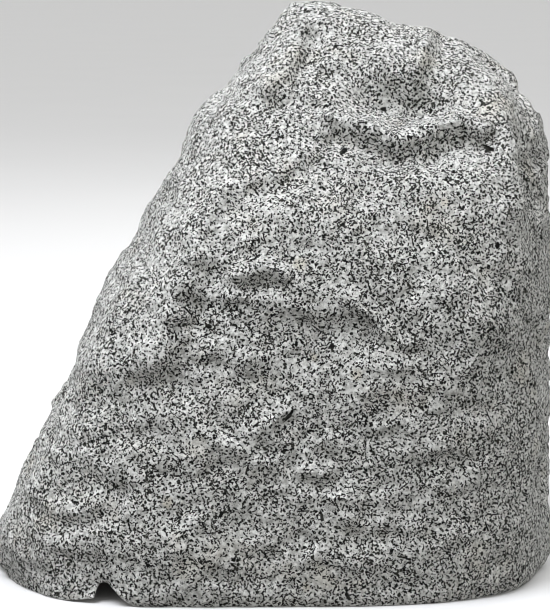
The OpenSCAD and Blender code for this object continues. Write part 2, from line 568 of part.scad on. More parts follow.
// ---- blanket of wadding on the inside of the plain face ----
module damping_wadding() {
  m = 14;
  k = 9;
  function a(j) = 208 + 124 * j / m;
  function s(i) = 12.5 + 7.5 * i / k;
  // thick in the middle, thin at its cut edges
  function t(i, j) = 7 + 15 * pow(sin(180 * i / k), 0.5) * pow(sin(180 * j / m), 0.5);
  function id(i, j) = i * (m + 1) + j;
  o = [for (i = [0:k]) for (j = [0:m]) inner(s(i), a(j), 2.5)];
  n = [for (i = [0:k]) for (j = [0:m]) inner(s(i), a(j), 2.5 + t(i, j))];
  c = len(o);
  edge = concat([for (j = [0:m]) id(0, j)], [for (i = [1:k]) id(i, m)], [for (j = [m - 1:-1:0]) id(k, j)],
    [for (i = [k - 1:-1:1]) id(i, 0)]);
  e = len(edge);
  color([0.88, 0.88, 0.85])
  polyhedron(points = concat(o, n), faces = concat(
    [for (i = [0:k - 1]) for (j = [0:m - 1]) for (f = [0, 1])
      f == 0 ? [id(i, j), id(i, j + 1), id(i + 1, j + 1)] : [id(i, j), id(i + 1, j + 1), id(i + 1, j)]],
    [for (i = [0:k - 1]) for (j = [0:m - 1]) for (f = [0, 1])
      f == 0 ? [c + id(i, j), c + id(i + 1, j + 1), c + id(i, j + 1)] : [c + id(i, j), c + id(i + 1, j), c + id(i + 1, j + 1)]],
    [for (q = [0:e - 1]) for (f = [0, 1]) let (a0 = edge[q], b0 = edge[(q + 1) % e])
      f == 0 ? [a0, c + a0, c + b0] : [a0, c + b0, b0]]));
}

rock_shell();
baffle_ring();
baffle_seal();
grille();
driver_gasket();
woofer_basket();
driver_screws();
woofer_surround();
woofer_cone();
dust_cap();
voice_coil_former();
voice_coil_winding();
woofer_spider();
woofer_top_plate();
woofer_magnet();
woofer_yoke();
woofer_terminals();
tweeter_bridge();
bridge_screws();
tweeter_housing();
tweeter_yoke();
tweeter_magnet();
tweeter_pole_plate();
tweeter_dome();
tweeter_coil();
tweeter_surround();
tweeter_faceplate();
base_plate();
mounting_blocks();
base_screws();
rubber_feet();
foot_screws();
cable_grommet();
crossover_board();
board_standoffs();
board_screws();
coil_bobbins();
coil_windings();
capacitors();
resistor();
terminal_block();
terminal_screws();
woofer_leads();
tweeter_leads();
damping_wadding();
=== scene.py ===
import math
import bmesh
import bpy
import numpy as np
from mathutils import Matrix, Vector
from mathutils.geometry import tessellate_polygon


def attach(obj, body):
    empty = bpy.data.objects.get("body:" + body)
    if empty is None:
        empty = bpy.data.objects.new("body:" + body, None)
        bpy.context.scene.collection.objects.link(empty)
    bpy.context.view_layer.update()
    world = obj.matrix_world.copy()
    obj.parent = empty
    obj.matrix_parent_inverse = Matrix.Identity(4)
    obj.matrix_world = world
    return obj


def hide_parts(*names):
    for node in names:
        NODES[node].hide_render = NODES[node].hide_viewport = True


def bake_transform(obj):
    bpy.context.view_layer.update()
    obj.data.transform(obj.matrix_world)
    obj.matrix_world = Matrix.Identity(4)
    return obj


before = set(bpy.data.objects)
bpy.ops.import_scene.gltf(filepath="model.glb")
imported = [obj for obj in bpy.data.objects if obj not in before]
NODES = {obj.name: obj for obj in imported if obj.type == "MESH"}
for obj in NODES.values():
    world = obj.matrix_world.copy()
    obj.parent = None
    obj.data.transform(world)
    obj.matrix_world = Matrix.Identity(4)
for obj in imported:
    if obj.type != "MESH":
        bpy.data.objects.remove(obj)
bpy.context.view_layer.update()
scene = bpy.context.scene

# ---------------------------------------------------------------- camera, light, floor
EL = math.radians(8)
TARGET = Vector((0, -0.004, 0.1535))
cam = bpy.data.objects.new("camera", bpy.data.cameras.new("camera"))
scene.collection.objects.link(cam)
cam.data.sensor_fit = "AUTO"
cam.data.sensor_width = 36
cam.data.lens = 2459 * 36 / 610
back = Vector((0, -math.cos(EL), math.sin(EL)))
cam.location = TARGET + back * 1.5
cam.rotation_mode = "QUATERNION"
cam.rotation_quaternion = (-back).to_track_quat("-Z", "Y")
cam.data.clip_start, cam.data.clip_end = 0.02, 100
scene.camera = cam
scene.view_settings.view_transform = "Standard"
scene.cycles.filter_width = 1.0


def lamp(name, place, size, power, look=(0, 0, 0.16), tint=(1, 1, 1)):
    data = bpy.data.lights.new(name, "AREA")
    data.shape = "DISK"
    data.size = size
    data.energy = power
    data.color = tint
    o = bpy.data.objects.new(name, data)
    o.location = place
    o.rotation_euler = (Vector(look) - Vector(place)).to_track_quat("-Z", "Y").to_euler()
    scene.collection.objects.link(o)
    return o


lamp("key", (-0.75, -0.65, 2.1), 1.5, 44.5, tint=(0.97, 0.99, 1.05))
lamp("rear", (0.9, 1.6, 1.7), 1.4, 14)
lamp("fill", (1.5, -1.3, 0.2), 1.2, 3.6, tint=(1.02, 1.01, 0.95))

world = bpy.data.worlds.new("studio")
scene.world = world
world.use_nodes = True
wt = world.node_tree
wt.nodes.clear()
w_out = wt.nodes.new("ShaderNodeOutputWorld")
w_bg = wt.nodes.new("ShaderNodeBackground")
w_tc = wt.nodes.new("ShaderNodeTexCoord")
w_xyz = wt.nodes.new("ShaderNodeSeparateXYZ")
w_ramp = wt.nodes.new("ShaderNodeValToRGB")
w_map = wt.nodes.new("ShaderNodeMapRange")
w_map.inputs["From Min"].default_value = -1
w_map.inputs["From Max"].default_value = 1
wt.links.new(w_tc.outputs["Generated"], w_xyz.inputs[0])
wt.links.new(w_xyz.outputs["Z"], w_map.inputs["Value"])
wt.links.new(w_map.outputs["Result"], w_ramp.inputs["Fac"])
wt.links.new(w_ramp.outputs["Color"], w_bg.inputs["Color"])
wt.links.new(w_bg.outputs[0], w_out.inputs["Surface"])
stops = [(0.0, 0.15), (0.40, 0.27), (0.5, 0.45), (0.62, 0.60), (1.0, 0.92)]
els = w_ramp.color_ramp.elements
els[0].position, els[1].position = stops[0][0], stops[-1][0]
for p, v in stops[1:-1]:
    els.new(p)
for e, (p, v) in zip(els, stops):
    e.position = p
    e.color = (v, v, v, 1)

# a flat floor that sweeps up into a round backdrop far behind the object
sweep = [(8 + 2 * i, 0) for i in range(9)] + [(24 + 10 * math.sin(math.radians(6 * i)), 10 - 10 * math.cos(math.radians(6 * i))) for i in range(1, 16)]
verts = [(0, 0, 0)] + [(r * math.cos(math.tau * j / 96), r * math.sin(math.tau * j / 96), z) for r, z in sweep for j in range(96)]
faces = [(0, 1 + j, 1 + (j + 1) % 96) for j in range(96)]
faces += [(1 + i * 96 + j, 1 + (i + 1) * 96 + j, 1 + (i + 1) * 96 + (j + 1) % 96, 1 + i * 96 + (j + 1) % 96) for i in range(len(sweep) - 1) for j in range(96)]
floor_mesh = bpy.data.meshes.new("floor")
floor_mesh.from_pydata(verts, [], faces)
floor_mesh.shade_smooth()
floor = bpy.data.objects.new("floor", floor_mesh)
scene.collection.objects.link(floor)
floor.visible_diffuse = False


# ---------------------------------------------------------------- node helpers
class Mat:
    """A node material under construction, with short calls for the nodes that are used often."""

    def __init__(self, name):
        self.m = bpy.data.materials.new(name)
        self.m.use_nodes = True
        self.t = self.m.node_tree
        self.b = self.t.nodes["Principled BSDF"]
        self.obj = self.node("ShaderNodeTexCoord").outputs["Object"]

    def node(self, kind, **props):
        n = self.t.nodes.new(kind)
        for k, v in props.items():
            setattr(n, k, v)
        return n

    def put(self, socket, v):
        if hasattr(v, "is_linked"):
            self.t.links.new(v, socket)
        else:
            socket.default_value = v

    def math(self, op, a, b=0.0, clamp=False):
        n = self.node("ShaderNodeMath", operation=op, use_clamp=clamp)
        self.put(n.inputs[0], a)
        self.put(n.inputs[1], b)
        return n.outputs[0]

    def vec(self, op, a, b=(0, 0, 0)):
        n = self.node("ShaderNodeVectorMath", operation=op)
        self.put(n.inputs[0], a)
        if op == "SCALE":
            self.put(n.inputs["Scale"], b)
        else:
            self.put(n.inputs[1], b)
        return n.outputs["Value"] if op in ("DOT_PRODUCT", "LENGTH", "DISTANCE") else n.outputs[0]

    def noise(self, scale, detail=2.0, rough=0.5, at=None, out="Fac", off=None, dist=0.0):
        n = self.node("ShaderNodeTexNoise")
        v = self.obj if at is None else at
        if off is not None:
            v = self.vec("ADD", v, off)
        self.t.links.new(v, n.inputs["Vector"])
        n.inputs["Scale"].default_value = scale
        n.inputs["Detail"].default_value = detail
        n.inputs["Roughness"].default_value = rough
        n.inputs["Distortion"].default_value = dist
        return n.outputs[out]

    def cells(self, scale, feature="F1", at=None, out="Distance", random=1.0):
        n = self.node("ShaderNodeTexVoronoi", feature=feature)
        self.t.links.new(self.obj if at is None else at, n.inputs["Vector"])
        n.inputs["Scale"].default_value = scale
        n.inputs["Randomness"].default_value = random
        return n.outputs[out]

    def ramp(self, v, a, b, lo=0.0, hi=1.0):
        n = self.node("ShaderNodeMapRange", interpolation_type="SMOOTHSTEP")
        self.put(n.inputs["Value"], v)
        n.inputs["From Min"].default_value = a
        n.inputs["From Max"].default_value = b
        n.inputs["To Min"].default_value = lo
        n.inputs["To Max"].default_value = hi
        return n.outputs["Result"]

    def warp(self, at, scale, amount):
        c = self.noise(scale, 1, 0.5, at=at, out="Color")
        return self.vec("ADD", at, self.vec("SCALE", self.vec("SUBTRACT", c, (0.5, 0.5, 0.5)), amount))

    def mix(self, f, a, b):
        n = self.node("ShaderNodeMix", data_type="RGBA")
        self.put(n.inputs[0], f)
        for i, v in ((6, a), (7, b)):
            self.put(n.inputs[i], v if hasattr(v, "is_linked") else (*v, 1))
        return n.outputs[2]

    def bump(self, height, strength, distance):
        n = self.node("ShaderNodeBump")
        n.inputs["Strength"].default_value = strength
        n.inputs["Distance"].default_value = distance
        self.t.links.new(height, n.inputs["Height"])
        if self.b.inputs["Normal"].is_linked:
            self.t.links.new(self.b.inputs["Normal"].links[0].from_socket, n.inputs["Normal"])
        self.t.links.new(n.outputs[0], self.b.inputs["Normal"])

    def base(self, v):
        self.put(self.b.inputs["Base Color"], v)

    def rough(self, v):
        self.put(self.b.inputs["Roughness"], v)

    def set(self, **k):
        for name, v in k.items():
            self.b.inputs[name.replace("_", " ")].default_value = v


# Frame of the drivers: origin, right, down and out through the grille, in millimetres
TILT = math.radians(8)
D_O = np.array([22.0, 133.0, 130.0])
D_X = np.array([1.0, 0.0, 0.0])
D_Y = np.array([0.0, math.sin(TILT), -math.cos(TILT)])
D_W = np.array([0.0, math.cos(TILT), math.sin(TILT)])


def from_driver(p):
    p = np.asarray(p, float)
    return D_O + p[..., 0:1] * D_X + p[..., 1:2] * D_Y + p[..., 2:3] * D_W


# ---- rock, in numpy
# Outline of the rock by height: z, left x, right x, front y, back y
ST = np.array([
    [338, 19, 19, -6, -6], [336, 9, 30, -19, 17], [329, 3, 60, -40, 42], [320, -1, 92, -56, 61],
    [311, -7, 116, -68, 76], [302, -17, 130, -76, 87], [293, -24, 142, -83, 96],
    [284, -30, 146, -90, 104], [275, -39, 154, -96, 110], [266, -47, 161, -101, 115],
    [248, -54, 166, -110, 123], [230, -63, 165, -118, 129], [212, -76, 165, -125, 134],
    [193, -84, 166, -130, 138], [175, -97, 165, -134, 141], [157, -105, 165, -137, 143],
    [138, -112, 164, -140, 144], [119, -119, 165, -142, 145], [100, -129, 167, -144, 146],
    [82, -139, 165, -145, 146], [63, -148, 165, -145, 146], [45, -156, 166, -146, 146],
    [26, -165, 168, -147, 146], [12, -169, 169, -147, 146], [5, -168, 167, -146, 145],
    [0.4, -163, 163, -143, 142]], float)
# How square the outline is, by height, in three quarters of it
SQ_Z = [0, 60, 150, 260, 330]
SQ_FL = [5.4, 4.8, 4.8, 3.4, 2.3]
SQ_FR = [3.2, 3.5, 4.2, 4.4, 2.6]
SQ_B = [3.0, 3.6, 4.5, 4.0, 2.4]
SHIFT_Y = 3.0
CORE = np.array([0.0, SHIFT_Y, 150.0])
# Split faces: azimuth and elevation of the face, distance from the core, edge softness
CUTS = [
    [90, 8, (D_O - CORE) @ D_W, 3],
    [-87, 4, 137, 5], [-87, 26, 138, 6], [-87, 38, 141, 8], [-126, 30, 133, 4], [-124, 6, 158, 6],
    [-62, 2, 165, 8], [-18, -3, 181, 6], [-150, -20, 216, 5],
    [-25, 8, 176, 5], [48, 6, 186, 6], [130, 8, 172, 6], [60, 42, 196, 8], [115, 42, 170, 8],
    [-20, 44, 204, 6]]
# Swells and hollows of the plain face: x, z, half width, half height, turn, height
BUMPS = [
    [78, 281, 26, 13, 0, -9], [99, 305, 9, 16, -20, -3], [80, 266, 34, 6, 0, 4],
    [92, 232, 36, 14, 0, 4.5], [45, 250, 20, 14, 0, 2],
    [-62, 226, 16, 22, -60, 2], [-112, 140, 20, 30, -70, 2],
    [-8, 318, 12, 26, -40, 2], [-36, 280, 12, 24, -50, 2], [-37, 177, 12, 30, -25, -5.5],
    [-60, 132, 22, 14, -30, -3], [-72, 96, 20, 16, -40, -4], [-90, 70, 20, 10, 10, -3],
    [-118, 34, 24, 12, 5, 2], [-66, 38, 22, 13, 0, 1.5], [-40, 34, 18, 13, 0, 1],
    [24, 26, 26, 12, 0, 1.5], [60, 30, 20, 12, 0, 2], [120, 34, 26, 14, 0, 2],
    [-14, 142, 16, 9, 0, 4], [0, 152, 66, 18, 0, -3.5],
    [10, 118, 60, 40, 0, -4], [-52, 150, 12, 20, -20, -3], [-12, 96, 22, 11, 20, 4], [54, 128, 20, 15, 20, 4],
    [8, 218, 18, 12, 5, 4], [40, 212, 20, 14, -20, 3], [114, 158, 16, 12, 0, 4],
    [34, 80, 14, 8, -20, -3], [56, 170, 14, 10, -30, -3], [100, 84, 16, 8, 20, -2],
    [148, 246, 10, 24, 0, -8], [140, 120, 12, 30, 0, -3]]
# Chipped ledges: half width, height, then x and z along the line; out above the line and in below it
LEDGES = [
    [7, 8.5, 32, 265, 43, 264, 52, 260, 60, 256, 72, 253, 83, 254, 92, 259, 101, 262, 109, 264, 119, 261],
    [12, 6.5, 58, 294, 68, 290, 80, 287, 92, 290],
    [7, 5, 86, 297, 94, 312, 99, 324],
    [6, 5, -2, 284, 7, 291, 14, 299, 16, 309, 21, 320],
    [5, 3, -4, 282, 12, 283, 30, 278],
    [4, 3, 27, 299, 37, 298],
    [6, 3, -40, 196, -40, 206, -34, 217, -27, 227, -18, 232, -5, 236, 8, 242, 22, 250],
    [5, 3, -52, 248, -44, 262, -38, 274],
    [5, 3.5, -74, 228, -58, 230],
    [5, 3, -84, 211, -70, 216],
    [10, 3.5, -63, 136, -52, 154, -49, 176, -40, 196],
    [8, 1.5, -80, 130, -60, 132, -42, 128],
    [4, 1.5, -46, 192, -30, 196],
    [5, 2, -52, 174, -27, 174],
    [5.5, 6, -20, 183, -8, 187, 5, 183],
    [5, 4, -27, 172, -17, 173],
    [4, 2.5, 14, 164, 20, 164],
    [5, 2.5, -58, 160, -48, 163],
    [6, 4.8, 43, 168, 52, 162, 57, 153],
    [4, 2.5, 72, 146, 78, 146],
    [5, 3.8, 17, 74, 26, 73, 34, 75],
    [4, 3.5, -1, 102, 9, 109],
    [4, 1.5, 56, 131, 71, 133],
    [12, 2.5, 104, 118, 120, 132, 134, 146],
    [5, 2.5, -44, 140, -32, 142],
    [8, 1.5, -90, 102, -71, 103],
    [5, 2, -117, 93, -106, 95],
    [6, 1, -60, 83, -35, 87],
    [6, 1.5, -94, 68, -78, 70],
    [6, 2.5, -142, 55, -124, 47, -106, 50, -94, 59],
    [4, 2, 52, 98, 64, 100],
    [5, 2.5, 90, 85, 100, 87],
    [6, 2.5, 40, 46, 50, 42, 62, 44],
    [9, 7.5, 146, 222, 144, 246, 138, 272],
    [16, 4, -104, 120, -66, 132, -40, 146],
    [12, 2, 2, 168, 22, 166, 44, 160],
    [6, -2, -37, 103, -3, 83],
    [5, -2, -30, 200, -14, 206],
    [5, -1.5, -52, 156, -34, 151],
    [3, -2, 20, 66, 40, 66],
    [5, 1.5, 42, 224, 50, 240],
    [5, 2, 70, 214, 88, 212],
    [4, 2, -98, 176, -90, 180]]
# Groove that runs up from the cable notch: x, z, half width, half height, turn, depth
GROOVE = [-99, 0, 11, 22, 20, -10]
WALL = 7.0


def curve(v, s):
    """Smooth curve through a table of rows."""
    n = len(v) - 1
    i = np.clip(np.floor(s).astype(int), 0, n - 1)
    t = (s - i)[..., None]
    p0, p1, p2, p3 = v[np.clip(i - 1, 0, n)], v[i], v[i + 1], v[np.clip(i + 2, 0, n)]
    return 0.5 * (2 * p1 + (p2 - p0) * t + (2 * p0 - 5 * p1 + 4 * p2 - p3) * t * t
                  + (3 * p1 - p0 - 3 * p2 + p3) * t ** 3)


def soft(t, w):
    x = t / w
    return w * np.where(x > 30, x, np.log1p(np.exp(np.minimum(x, 30))))


def rock(s, th):
    """Points of the split boulder before its relief, for rows s and angles th in radians."""
    v = curve(ST, s)
    z = v[..., 0]
    a = np.maximum((v[..., 2] - v[..., 1]) / 2, 0.01)
    b = np.maximum((v[..., 4] - v[..., 3]) / 2, 0.01)
    c, d = np.cos(th), np.sin(th)
    wr = 0.5 + 0.5 * np.clip(c * 1.5, -1, 1)
    wb = 0.5 + 0.5 * np.clip(d * 1.5, -1, 1)
    nf = np.interp(z, SQ_Z, SQ_FL) * (1 - wr) + np.interp(z, SQ_Z, SQ_FR) * wr
    n = nf * (1 - wb) + np.interp(z, SQ_Z, SQ_B) * wb
    r = (np.abs(c) ** n + np.abs(d) ** n) ** (-1 / n)
    p = np.stack([(v[..., 1] + v[..., 2]) / 2 + a * r * c, SHIFT_Y + (v[..., 3] + v[..., 4]) / 2 + b * r * d, z], -1)
    for az, el, dist, w in CUTS:
        az, el = math.radians(az), math.radians(el)
        m = np.array([math.cos(el) * math.cos(az), math.cos(el) * math.sin(az), math.sin(el)])
        p = p - soft((p - CORE) @ m - dist, w)[..., None] * m
    return p


def hashed(i, j, k, seed):
    """A number from 0 to 1 for each cell of a lattice."""
    u = np.uint32
    h = (i.astype(u) * u(374761393) + j.astype(u) * u(668265263) + k.astype(u) * u(2246822519)
         + u(seed * 2654435761 % 4294967296))
    h ^= h >> u(15)
    h *= u(2246822519)
    h ^= h >> u(13)
    h *= u(3266489917)
    h ^= h >> u(16)
    return h.astype(float) / 4294967296.0


def lumps(p, size, seed):
    """Smooth noise from about -1 to 1 with lumps about size across."""
    q = p / size
    c = np.floor(q).astype(np.int64)
    f = q - c
    u = f ** 3 * (f * (f * 6 - 15) + 10)
    out = np.zeros(p.shape[:-1])
    for dx in (0, 1):
        for dy in (0, 1):
            for dz in (0, 1):
                i, j, k = c[..., 0] + dx, c[..., 1] + dy, c[..., 2] + dz
                g = [hashed(i, j, k, seed * 3 + m) * 2 - 1 for m in range(3)]
                e = g[0] * (f[..., 0] - dx) + g[1] * (f[..., 1] - dy) + g[2] * (f[..., 2] - dz)
                out += e * (u[..., 0] if dx else 1 - u[..., 0]) * (u[..., 1] if dy else 1 - u[..., 1]) * (
                    u[..., 2] if dz else 1 - u[..., 2])
    return out * 1.5


def facets(p, cell, lean, lift, crisp, seed):
    """Broken stone: each patch is a plane with a lean of its own, and neighbours meet in a crease."""
    q = p / cell
    c = np.floor(q).astype(np.int64)
    d2, hh = [], []
    for dx in (-1, 0, 1):
        for dy in (-1, 0, 1):
            for dz in (-1, 0, 1):
                i, j, k = c[..., 0] + dx, c[..., 1] + dy, c[..., 2] + dz
                o = np.stack([i + hashed(i, j, k, seed), j + hashed(i, j, k, seed + 1), k + hashed(i, j, k, seed + 2)], -1)
                g = np.stack([hashed(i, j, k, seed + 3 + m) * 2 - 1 for m in range(3)], -1)
                e = q - o
                d2.append((e * e).sum(-1))
                hh.append(lean * (g * e).sum(-1) + lift * (hashed(i, j, k, seed + 7) * 2 - 1))
    d2, hh = np.array(d2), np.array(hh)
    w = np.exp(-crisp * (d2 - d2.min(0)))
    return cell * (w * hh).sum(0) / w.sum(0)


def smooth01(t):
    t = np.clip(t, 0, 1)
    return t * t * (3 - 2 * t)


def swell(x, z, b):
    c, d = math.cos(math.radians(b[4])), math.sin(math.radians(b[4]))
    u = ((x - b[0]) * c + (z - b[1]) * d) / b[2]
    v = ((z - b[1]) * c - (x - b[0]) * d) / b[3]
    return b[5] * np.exp(-u * u - v * v)


def ledge(x, z, e):
    best, v = np.full(x.shape, 1e9), np.zeros(x.shape)
    for i in range(2, len(e) - 2, 2):
        n = math.hypot(e[i + 2] - e[i], e[i + 3] - e[i + 1])
        tx, tz = (e[i + 2] - e[i]) / n, (e[i + 3] - e[i + 1]) / n
        u = (x - e[i]) * tx + (z - e[i + 1]) * tz
        w = (z - e[i + 1]) * tx - (x - e[i]) * tz
        o = np.maximum(np.maximum(-u, u - n), 0)
        d = o * o + w * w
        v = np.where(d < best, w * np.abs(w) / np.sqrt(d + 1e-6), v)
        best = np.minimum(best, d)
    v = v / e[0]
    return 1.5 * e[1] * v * np.exp(-best / e[0] ** 2)


def relief(p, n):
    """Height of the relief over the split faces: the listed features of the plain face, and broken stone all over."""
    f = smooth01((0.15 - n[..., 1]) / 0.5)
    x = p[..., 0] + 2.0 * lumps(p, 16, 60) + 1.5 * lumps(p, 8, 61)
    z = p[..., 2] + 2.0 * lumps(p, 16, 62) + 1.5 * lumps(p, 8, 63)
    h = sum(swell(x, z, b) for b in BUMPS) + sum(ledge(x, z, e) for e in LEDGES) + swell(x, z, GROOVE)
    h = h * f
    w = p + 2.2 * np.stack([lumps(p, 22, 40), lumps(p, 22, 41), lumps(p, 22, 42)], -1)
    big = facets(w, 44, 0.16, 0.03, 14, 5)
    mid = facets(w, 17, 0.20, 0.03, 12, 25)
    fine = 1.1 * lumps(p, 12, 50) + 0.9 * lumps(p, 7, 51) + 0.35 * lumps(p, 4.2, 52)
    g = big * (0.85 - 0.65 * f) + mid * (0.8 - 0.25 * f) + fine
    # calm round the grille, and at the very rim
    e = (p - D_O)
    r = np.hypot(e @ D_X, e @ D_Y)
    calm = np.where(e @ D_W > -40, smooth01((r - 101) / 26), 1)
    rim = 0.35 + 0.65 * smooth01(p[..., 2] / 14)
    return (h + g) * calm * rim


def around_row(s, count, pull):
    """Angles for one row so that its columns are evenly spaced, and pull times closer together on the plain face."""
    t = np.linspace(0, 2 * np.pi, 1441) + np.pi / 2
    p = rock(np.full(t.shape, s), t)
    step = np.linalg.norm(np.diff(p, axis=0), axis=1) + 1e-6
    mid = (t[1:] + t[:-1]) / 2
    weight = 1 + (pull - 1) * smooth01((0.35 - np.sin(mid)) / 0.9)
    total = np.concatenate([[0], np.cumsum(step * weight)])
    return np.interp(np.linspace(0, total[-1], count + 1)[:-1], total, t)


def skin(cols, rows, pull=1.7):
    """The outer skin as rows of points, row 0 all at the crest."""
    s = np.linspace(0, len(ST) - 1, 2000)
    prof = rock(s, np.full(s.shape, -np.pi / 2))
    side = rock(s, np.full(s.shape, np.pi))
    step = 0.5 * np.linalg.norm(np.diff(prof, axis=0), axis=1) + 0.5 * np.linalg.norm(np.diff(side, axis=0), axis=1)
    total = np.concatenate([[0], np.cumsum(step)])
    ss = np.interp(np.linspace(0, total[-1], rows + 1), total, s)
    th = np.array([around_row(max(v, 0.15), cols, pull) for v in ss])
    p = rock(np.repeat(ss[:, None], cols, 1), th)
    du = np.roll(p, -2, 1) - np.roll(p, 2, 1)
    dv = np.empty_like(p)
    dv[2:-2] = p[4:] - p[:-4]
    dv[0], dv[1] = p[2] - p[0], p[2] - p[0]
    dv[-1], dv[-2] = p[-1] - p[-3], p[-1] - p[-3]
    n = np.cross(dv, du)
    n /= np.linalg.norm(n, axis=-1, keepdims=True) + 1e-9
    n[0] = [0, 0, 1]
    h = relief(p, n)
    h[0] = h[0].mean()
    q = p + h[..., None] * n
    q[..., 2] = np.maximum(q[..., 2], 0.4)
    q[-1, :, 2] = 0.4
    return q, h, n
# ---- end of the rock


def inner_skin(cols, rows):
    """The inner skin: a pole, rows down to the wall over the rim, then straight down."""
    ss = np.linspace(0, 22.6, rows + 1)[1:]
    th = np.linspace(0, 2 * np.pi, cols + 1)[:-1] + np.pi / 2
    s, t = np.repeat(ss[:, None], cols, 1), np.repeat(th[None], rows, 0)
    p = rock(s, t)
    h = 0.2
    a, b = np.maximum(s - h, 0), np.minimum(s + h, len(ST) - 1)
    d = math.radians(3)
    n = np.cross(rock(b, t) - rock(a, t), rock(s, t + d) - rock(s, t - d))
    n /= np.linalg.norm(n, axis=-1, keepdims=True) + 1e-9
    f = smooth01((0.15 - n[..., 1]) / 0.5)
    deep = WALL + 2 - f * np.minimum(0, sum(swell(p[..., 0], p[..., 2], k) for k in BUMPS)) \
        - f * np.minimum(0, sum(ledge(p[..., 0], p[..., 2], k) for k in LEDGES)) \
        + f * 8 * np.exp(-((p[..., 0] + 97) / 26) ** 2 - ((p[..., 2] - 8) / 34) ** 2)
    return p - deep[..., None] * n, rock(np.zeros(1), np.zeros(1))[0] - [0, 0, WALL]


# ---------------------------------------------------------------- mesh helpers
def new_object(name, verts, faces, mats, face_mats=None, unit=0.001):
    mesh = bpy.data.meshes.new(name)
    mesh.from_pydata((np.asarray(verts, float) * unit).tolist(), [], faces)
    mesh.validate()
    o = bpy.data.objects.new(name, mesh)
    scene.collection.objects.link(o)
    for m in mats:
        mesh.materials.append(m)
    if face_mats is not None:
        mesh.polygons.foreach_set("material_index", np.asarray(face_mats, np.int32))
    return o


def shade(o, angle=35):
    o.data.polygons.foreach_set("use_smooth", np.ones(len(o.data.polygons), bool))
    o.data.set_sharp_from_angle(angle=math.radians(angle))
    o.data.update()


def turned(profile, n=96, a0=0.0, a1=360.0):
    """Points and faces of a closed profile of radius and height turned about the driver axis, capped if it is a sector."""
    prof = np.asarray(profile, float)
    m = len(prof)
    full = abs(a1 - a0 - 360) < 1e-6
    count = n if full else n + 1
    ang = np.radians(a0 + (a1 - a0) * np.arange(count) / n)
    pts = np.stack([prof[None, :, 0] * np.cos(ang)[:, None], prof[None, :, 0] * np.sin(ang)[:, None],
                    np.repeat(prof[None, :, 1], count, 0)], -1).reshape(-1, 3)
    faces = []
    for i in range(n):
        j = (i + 1) % count
        for k in range(m):
            q = (k + 1) % m
            faces.append((i * m + k, j * m + k, j * m + q, i * m + q))
    if not full:
        faces.append(tuple(range(m - 1, -1, -1)))
        faces.append(tuple((count - 1) * m + k for k in range(m)))
    return from_driver(pts), faces


def outward(o):
    """Turns the faces of a closed mesh to point out."""
    import bmesh
    bm = bmesh.new()
    bm.from_mesh(o.data)
    bmesh.ops.recalc_face_normals(bm, faces=bm.faces)
    bm.to_mesh(o.data)
    bm.free()


def cut(o, tool):
    m = o.modifiers.new("cut", "BOOLEAN")
    m.operation = "DIFFERENCE"
    m.solver = "MANIFOLD"
    m.object = tool
    bpy.context.view_layer.update()
    dg = bpy.context.evaluated_depsgraph_get()
    mesh = bpy.data.meshes.new_from_object(o.evaluated_get(dg))
    o.modifiers.clear()
    old = o.data
    o.data = mesh
    bpy.data.meshes.remove(old)
    bpy.data.objects.remove(tool)


# ---------------------------------------------------------------- materials
def flakes(k, at, off, cell, radius, half, share, dens, pull, soft=0.0001):
    """Thin discs in a share of the cells of a lattice, each with a lean of its own: the surface cuts them into short strokes."""
    p = k.vec("ADD", at, off)
    v = k.node("ShaderNodeTexVoronoi", feature="F1")
    k.t.links.new(p, v.inputs["Vector"])
    v.inputs["Scale"].default_value = 1 / cell
    o = k.vec("SUBTRACT", p, v.outputs["Position"])
    d = k.vec("NORMALIZE", k.vec("SUBTRACT", v.outputs["Color"], (0.5, 0.5, 0.5)))
    a = k.math("ABSOLUTE", k.vec("DOT_PRODUCT", o, d))
    lot = k.node("ShaderNodeTexWhiteNoise", noise_dimensions="3D")
    k.t.links.new(v.outputs["Position"], lot.inputs["Vector"])
    lot = k.math("ADD", lot.outputs["Value"], k.math("MULTIPLY", k.math("SUBTRACT", dens, 0.5), pull))
    f = k.math("MULTIPLY", k.ramp(a, half + soft, half - soft), k.ramp(k.vec("LENGTH", o), radius + 2 * soft, radius - 2 * soft))
    return k.math("MULTIPLY", f, k.math("LESS_THAN", lot, share))


# Black chips of the plain face: x, z, half length and half width in millimetres, slope in degrees
CHIPS = [(39, 254, 2.8, 1.3, 35), (123, 255, 3.2, 1.2, -30), (122, 254, 2.2, 1.2, 45), (-37, 158, 1.8, 1.4, 0), (8, 109, 4.6, 1.1, 55),
         (32, 147, 1.8, 1.3, 80), (126, 202, 2.2, 1.5, 90), (-2, 168, 1.4, 1.1, 0)]
# Warm patches of the plain face: x, z, radius
PATCHES = [(14, 193, 4), (46, 132, 3.5), (18, 12, 3), (96, 226, 3), (-60, 60, 3.5), (22, 141, 2.5)]


